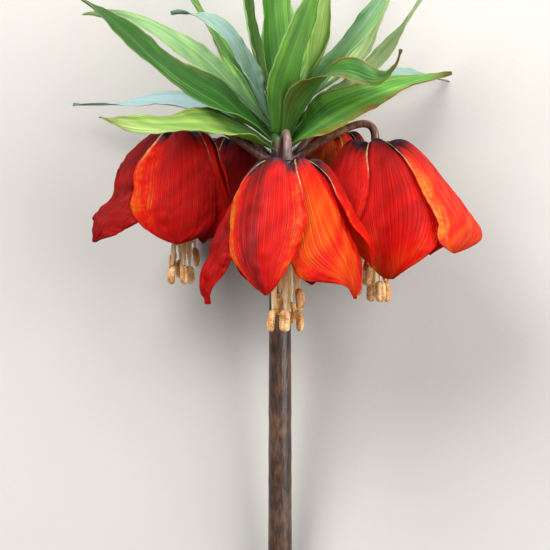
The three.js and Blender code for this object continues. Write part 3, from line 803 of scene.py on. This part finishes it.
# Lines, each of points and of what is stored on them, with their radius in metres, ready to be
# swept.
def linesObject(name, lines):
    points, edges, layers = [], [], {}
    for line, stored in lines:
        first, count = len(points), len(line)
        points.extend(laid(line))
        edges.extend((first + i, first + i + 1) for i in range(count - 1))
        for layer, values in stored.items():
            layers.setdefault(layer, []).extend(np.broadcast_to(values, count))
    mesh = bpy.data.meshes.new(name)
    mesh.from_pydata([tuple(p) for p in points], edges, [])
    for layer, values in layers.items():
        mesh.attributes.new(layer, "FLOAT", "POINT").data.foreach_set("value", values)
    return linkedObject(name, mesh)


def bezier(a, b, c, d, count):
    t = np.linspace(0, 1, count)[:, None]
    return a * (1 - t) ** 3 + 3 * b * t * (1 - t) ** 2 + 3 * c * t * t * (1 - t) + d * t**3


# The stem, its arched stalks, and the knobs that the bells hang by.
stemForm = {
    "sides": 40,
    "heights": (-220, -110, -26, -10, -4, 22),
    "radii": (5.4, 5.1, 4.6, 5.0, 4.0, 2.4),
    "neck": -30.0,  # the stem has more rows above it
    "rows": (90, 60),
    "stalkRows": 56,
    "stalkRadius": 1.7,
    "stalkRoot": -10.0,
    "knobRows": 24,
    "knobFoot": -3.0,
    "knobTop": 2.3,
    "knobRadii": (4.2, 2.3),
}

# How grey each stalk's wax is, and how far it is flushed with brown-red.
stalkTints = {
    "front": (0.3, 0.25),
    "right": (0.15, 0.85),
    "left": (0.2, 0.5),
    "back_left": (0.1, 0.3),
    "back_right": (0.2, 0.5),
}


def bellStalk(name, bell):
    form = stemForm
    x, y, z = bell["at"]
    reach = math.hypot(x, y)
    out = np.array([x / reach, y / reach, 0.0])
    up = np.array([0.0, 0.0, 1.0])
    root = out * 2 + form["stalkRoot"] * up
    top = np.array([x, y, z + form["knobTop"] * bell["size"] + plant["joint"]])
    rising = root + out * 0.5 * reach + up * (8 + 0.1 * reach)
    falling = top + up * (12 + 0.12 * reach)
    arch = bezier(top + up * 1.2, falling, rising, root, form["stalkRows"])
    b = np.concatenate([[0], np.linspace(0, 1, form["stalkRows"])])
    radii = form["stalkRadius"] * (1 + 0.15 * ease(b, 0.25, -0.125) + 0.3 * ease(b, 0.75, 1))
    grey, flush = stalkTints[name]
    stored = {"radius": radii / 1000, "green": 0, "grey": grey, "flush": flush}
    return np.vstack([top, arch]), stored


def stemObject(material):
    form = stemForm
    bare = np.linspace(-plant["stemLength"], form["neck"], form["rows"][0])
    neck = np.linspace(form["neck"] + 1, plant["coreHeight"], form["rows"][1])
    z = np.concatenate([bare, neck])
    radii = np.interp(z, form["heights"], form["radii"]) * (1 + 0.012 * uneven(z / 9, 5))
    stored = {
        "radius": radii / 1000,
        "green": ease(z, -3, 3),
        "grey": 0.04 + 0.03 * uneven(z / 14, 6),
        "flush": 0.1 + 0.2 * ease(z, -60, -10),
    }
    lines = [(np.outer(z, (0, 0, 1)), stored)]
    lines += [bellStalk(name, bell) for name, bell in bells.items()]
    tree, inputs = sweptTree("sweptStalks", form["sides"], material)
    item = grown(linesObject("stalks", lines), tree, inputs)
    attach(item, "root")
    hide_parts("stem")


def knobObject(name, material):
    form = stemForm
    bell = bells[name]
    x, y, high = bell["at"]
    grey, flush = stalkTints[name]
    t = np.linspace(0, 1, form["knobRows"])
    z = high + mix(form["knobFoot"], form["knobTop"], t) * bell["size"]
    radii = mix(*form["knobRadii"], t**0.8) * (1 - 0.3 * ease(t, 0.86, 1)) * bell["size"]
    stored = {"radius": radii / 1000, "green": 0, "grey": 0.7 * grey, "flush": 0.4 * flush}
    line = np.outer(z, (0, 0, 1)) + (x, y, 0)
    tree, inputs = sweptTree(f"sweptKnob_{name}", form["sides"], material)
    item = grown(linesObject(f"knob_{name}", [(line, stored)]), tree, inputs)
    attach(item, "root")
    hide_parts(f"bell_{name}")


# Juicy stem skin: purple-brown, with a thin grey wax and faint lengthwise ridges, and pale at the
# cut.
def stemSkin():
    material, add = emptyMaterial("stemSkin")
    green, grey, flush = (
        add("Attribute", attribute_name=layer).outputs["Fac"]
        for layer in ("green", "grey", "flush")
    )
    point = add("TexCoord").outputs["Object"]
    # ridges about 1 mm apart round the stem and 11 mm long
    stretched = add("Mapping", {"Vector": point, "Scale": (900, 90, 900)})
    streak = add("TexNoise", {"Vector": stretched, "Scale": 1, "Detail": 3})
    patch = add("TexNoise", {"Vector": point, "Scale": 110, "Detail": 4})
    both = add("Math", [streak, patch])
    tone = add("MapRange", [both, 0.75, 1.25])
    colour = add("ValToRGB", [tone], stops={0: "160f0a", 0.5: "2a1d14", 1: "443022"})
    warm = add("ValToRGB", [tone], stops={0: "4a2a1c", 0.5: "7c4c34", 1: "a87852"})
    wax = add("TexNoise", {"Vector": point, "Scale": 330, "Detail": 4})
    wax = add("MapRange", [wax, 0.3, 0.7, 0.35, 0.9])
    waxed = add("Math", [wax, grey], operation="MULTIPLY")
    # the cut face lies across the stem's own axis
    axis = laid((0, 0, 1000)) - laid((0, 0, 0))
    cutAt = laid((0, 0, 0.05 - plant["stemLength"])) @ axis
    height = add("VectorMath", [point, tuple(axis)], operation="DOT_PRODUCT")
    cut = add("Math", [height, float(cutAt)], operation="LESS_THAN")
    # the stem's green tip is kept dark: its own green, darkened as painted shade between the leaf
    # bases
    for share, over in (
        (flush, warm), (waxed, "8c7c84"), (green, "36561f"), (cut, "b9c48e"),
    ):
        colour = add("Mix", [share, colour, over], data_type="RGBA")
    rough = add("MapRange", [waxed, 0, 0.8, 0.34, 0.6])
    body = {"Base Color": colour, "Roughness": rough, "Specular IOR Level": 0.35}
    closeMaterial(add, body, {"Height": both, "Distance": 0.00025})
    return material


# In each bell: six filaments with their anthers, and the style among them. Pairs of values are for
# the inner and the outer stamens.
stamenForm = {
    "antherLength": 9.5,
    "antherWidth": 2.3,
    "antherRows": 24,
    "antherSides": 28,
    "antherFlatness": 0.8,
    "filamentRadius": 1.05,
    "filamentRows": 36,
    "steps": (3, -6, 3, 0, -4, 3),  # how much longer than the others each one is
    "root": 1.7,  # from the bell's axis to the filaments' roots
    "rings": (4.6, 6.6),  # and to their tips
    "bows": (-0.4, 0.5),
    "turn": 12,
    "sides": 14,
}


def stamenLines(bell):
    form = stamenForm
    size = bell["size"]
    centre = np.array(bell["at"]) - (0, 0, 3 * size + plant["joint"])

    def at(out, angle, depth):
        return outward(angle) * out * size + centre - (0, 0, depth * size)

    lines, anthers = [], []
    t = np.linspace(0, 1, form["filamentRows"])
    for k in range(6):
        angle = math.radians(bell["turn"] + 60 * k + form["turn"])
        out = form["rings"][k % 2]
        length = bell["filament"] + form["steps"][k]
        tip = at(out, angle, length)
        bow = outward(angle + 1.2) * (np.sin(math.pi * t) * form["bows"][k % 2])[:, None]
        swollen = (1 + 0.12 * ease(t, 0.5, 0.8)) * (1 - 0.6 * ease(t, 0.88, 1))
        stored = {"radius": form["filamentRadius"] * swollen / 1000, "style": 0}
        lines.append((mix(at(form["root"], angle, 1), tip, t[:, None]) + bow, stored))
        anthers.append((tip, at(out + 1, angle, length + form["antherLength"]), angle))
    depth = (bell["filament"] + 4) * t
    radii = 0.95 + 2.3 * ease(depth, 7, 0) + 0.6 * ease(t, 0.94, 1)
    lines.append((centre - np.outer(depth, (0, 0, size)), {"radius": radii / 1000, "style": 1}))
    return lines, anthers


# An anther is two long pollen lobes back to back, with a groove between them.
def antherShape(top, low, angle, size, seed):
    form = stamenForm
    t = np.linspace(0, 1, form["antherRows"] + 1)[:, None]
    phi = np.linspace(0, 2 * math.pi, form["antherSides"], endpoint=False)[None, :]
    axis = (low - top) / np.linalg.norm(low - top)
    side = np.cross(axis, outward(angle))
    side /= np.linalg.norm(side)
    front = np.cross(side, axis)
    swell = np.maximum(1 - abs(2 * t - 1) ** 3.4, 0) ** 0.5 * (1 + 0.06 * np.cos(2 * math.pi * t))
    section = 1 - 0.5 * np.exp(-((np.cos(phi) / 0.3) ** 2)) + 0.05 * np.cos(4 * phi)
    grain = 1 + 0.04 * uneven(t * 24 + 3 * np.sin(phi), seed)
    grain += 0.03 * uneven(t * 60 + 8 * np.cos(phi), seed + 1)
    radius = (form["antherWidth"] * size * swell * section * grain)[..., None]
    deep = form["antherFlatness"] * np.sin(phi)[..., None] * front
    ring = radius * (np.cos(phi)[..., None] * side + deep)
    bent = front * (0.5 * np.sin(math.pi * t) - 0.25)[..., None]
    return top + (low - top) * t[..., None] + bent + ring


def stamensObject(name, filamentSkin, pollenSkin):
    bell = bells[name]
    lines, anthers = stamenLines(bell)
    tree, inputs = sweptTree(f"sweptFilaments_{name}", stamenForm["sides"], filamentSkin)
    filaments = grown(linesObject(f"filaments_{name}", lines), tree, inputs)
    shapes = [antherShape(*anther, bell["size"], 60 + n) for n, anther in enumerate(anthers)]
    index = np.arange(shapes[0][..., 0].size).reshape(shapes[0].shape[:2])
    turned = np.roll(index, -1, axis=1)
    quads = np.stack([index[:-1], turned[:-1], turned[1:], index[1:]], axis=-1).reshape(-1, 4)
    faces = np.concatenate([quads + n * index.size for n in range(len(shapes))])
    points = laid(np.concatenate(shapes).reshape(-1, 3))
    pollen = meshObject(f"anthers_{name}", points, faces, material=pollenSkin)
    shell = bmesh.new()
    shell.from_mesh(pollen.data)
    bmesh.ops.remove_doubles(shell, verts=shell.verts, dist=1e-6)
    bmesh.ops.recalc_face_normals(shell, faces=shell.faces)
    shell.to_mesh(pollen.data)
    shell.free()
    for item in (filaments, pollen):
        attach(item, "root")
        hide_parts(f"stamens_{name}")


# Filament and style: smooth, wet-looking cream flesh that light passes into.
def filamentFlesh():
    material, add = emptyMaterial("filamentFlesh")
    point = add("TexCoord").outputs["Object"]
    style = add("Attribute", attribute_name="style").outputs["Fac"]
    stretched = add("Mapping", {"Vector": point, "Scale": (1400, 140, 1400)})
    grain = add("TexNoise", {"Vector": stretched, "Scale": 1, "Detail": 3})
    colour = add("ValToRGB", [grain], stops={0.3: "eaca92", 0.5: "f8e4b6", 0.7: "fdf5de"})
    greened = add("Math", [style, 0.5], operation="MULTIPLY")
    colour = add("Mix", [greened, colour, "dcd49a"], data_type="RGBA")
    body = {"Base Color": colour, "Roughness": 0.42}
    closeMaterial(add, body, {"Height": grain, "Distance": 0.00015}, 0.35, colour)
    return material


# Pollen sac: dry, powdery and quite matt, its grains drawn 0.4 mm wide to show.
def pollenSac():
    material, add = emptyMaterial("pollenSac")
    point = add("TexCoord").outputs["Object"]
    grain = add("TexNoise", {"Vector": point, "Scale": 2400, "Detail": 2})
    patch = add("TexNoise", {"Vector": point, "Scale": 260, "Detail": 2})
    both = add("Math", [grain, patch])
    tone = add("MapRange", [both, 0.75, 1.25])
    colour = add(
        "ValToRGB", [tone], stops={0: "9c642c", 0.4: "cd9556", 0.75: "e4bb86", 1: "f2dab0"}
    )
    body = {"Base Color": colour, "Roughness": 0.9, "Specular IOR Level": 0.2}
    closeMaterial(add, body, {"Height": grain, "Distance": 0.0003})
    return material


petal = petalSkin()
for name in bells:
    bellObject(name, petal)
print("bells made")

blade = leafSkin()
for number, leaf in enumerate(crownLeaves, start=1):
    leafObject(number, leaf, blade)
print("crown leaves made")

skin = stemSkin()
stemObject(skin)
for name in bells:
    knobObject(name, skin)
flesh, pollen = filamentFlesh(), pollenSac()
for name in bells:
    stamensObject(name, flesh, pollen)
print("stem and stamens made")

# The lamps' and the camera's places are in the growing plant's millimetres.
studio = {
    "aim": (0.0, 0.0, -30.0),
    "cameraAt": (-2.25, -600.0, -59.4),  # in front of the plant, square to its stem
    "lens": 87.25,
    "floorColour": "a6a39e",
    "floorHalf": 20.0,  # metres
    "roomLight": 0.3,
}

# Place, power in watts and size in metres of each lamp.
lamps = {
    "keyLight": ((-640.0, -800.0, 730.0), 27.0, 0.7),
    "fillLight": ((900.0, -760.0, 180.0), 23.0, 1.0),
    "backLight": ((100.0, 100.0, 1030.0), 17.0, 0.6),
}


# Matt paper, faintly uneven.
def floorPaper():
    material, add = emptyMaterial("floorPaper")
    point = add("TexCoord").outputs["Object"]
    fibre = add("TexNoise", {"Vector": point, "Scale": 400, "Detail": 4})
    body = {"Base Color": studio["floorColour"], "Roughness": 0.85, "Specular IOR Level": 0.2}
    closeMaterial(add, body, {"Height": fibre, "Distance": 0.0001, "Strength": 0.6})
    return material


half = studio["floorHalf"]
corners = [(-half, -half, 0), (half, -half, 0), (half, half, 0), (-half, half, 0)]
meshObject("floor", corners, [(0, 1, 2, 3)], material=floorPaper())

for name, (place, power, size) in lamps.items():
    lamp = bpy.data.lights.new(name, "AREA")
    lamp.energy = power
    lamp.size = size
    item = linkedObject(name, lamp)
    item.location = Vector(laid(place))
    direction = Vector(laid(studio["aim"])) - item.location
    item.rotation_euler = direction.to_track_quat("-Z", "Y").to_euler()

world = bpy.data.worlds.new("softRoom")
world.use_nodes = True
sky = world.node_tree.nodes["Background"].inputs
sky["Color"].default_value = (1.0, 1.0, 1.0, 1.0)
sky["Strength"].default_value = studio["roomLight"]
scene.world = world
scene.view_settings.view_transform = "Standard"

# the camera looks along the plant's front-to-back line, with the stem upright in the picture
lens = bpy.data.cameras.new("camera")
lens.lens = studio["lens"]
lens.clip_end = 20
camera = linkedObject("camera", lens)
camera.location = Vector(laid(studio["cameraAt"]))
plantTurn = Matrix(
    ((1, 0, 0), (0, math.sin(lie), math.cos(lie)), (0, -math.cos(lie), math.sin(lie)))
)
camera.rotation_euler = (plantTurn @ Matrix.Rotation(math.pi / 2, 3, "X")).to_euler()
scene.camera = camera
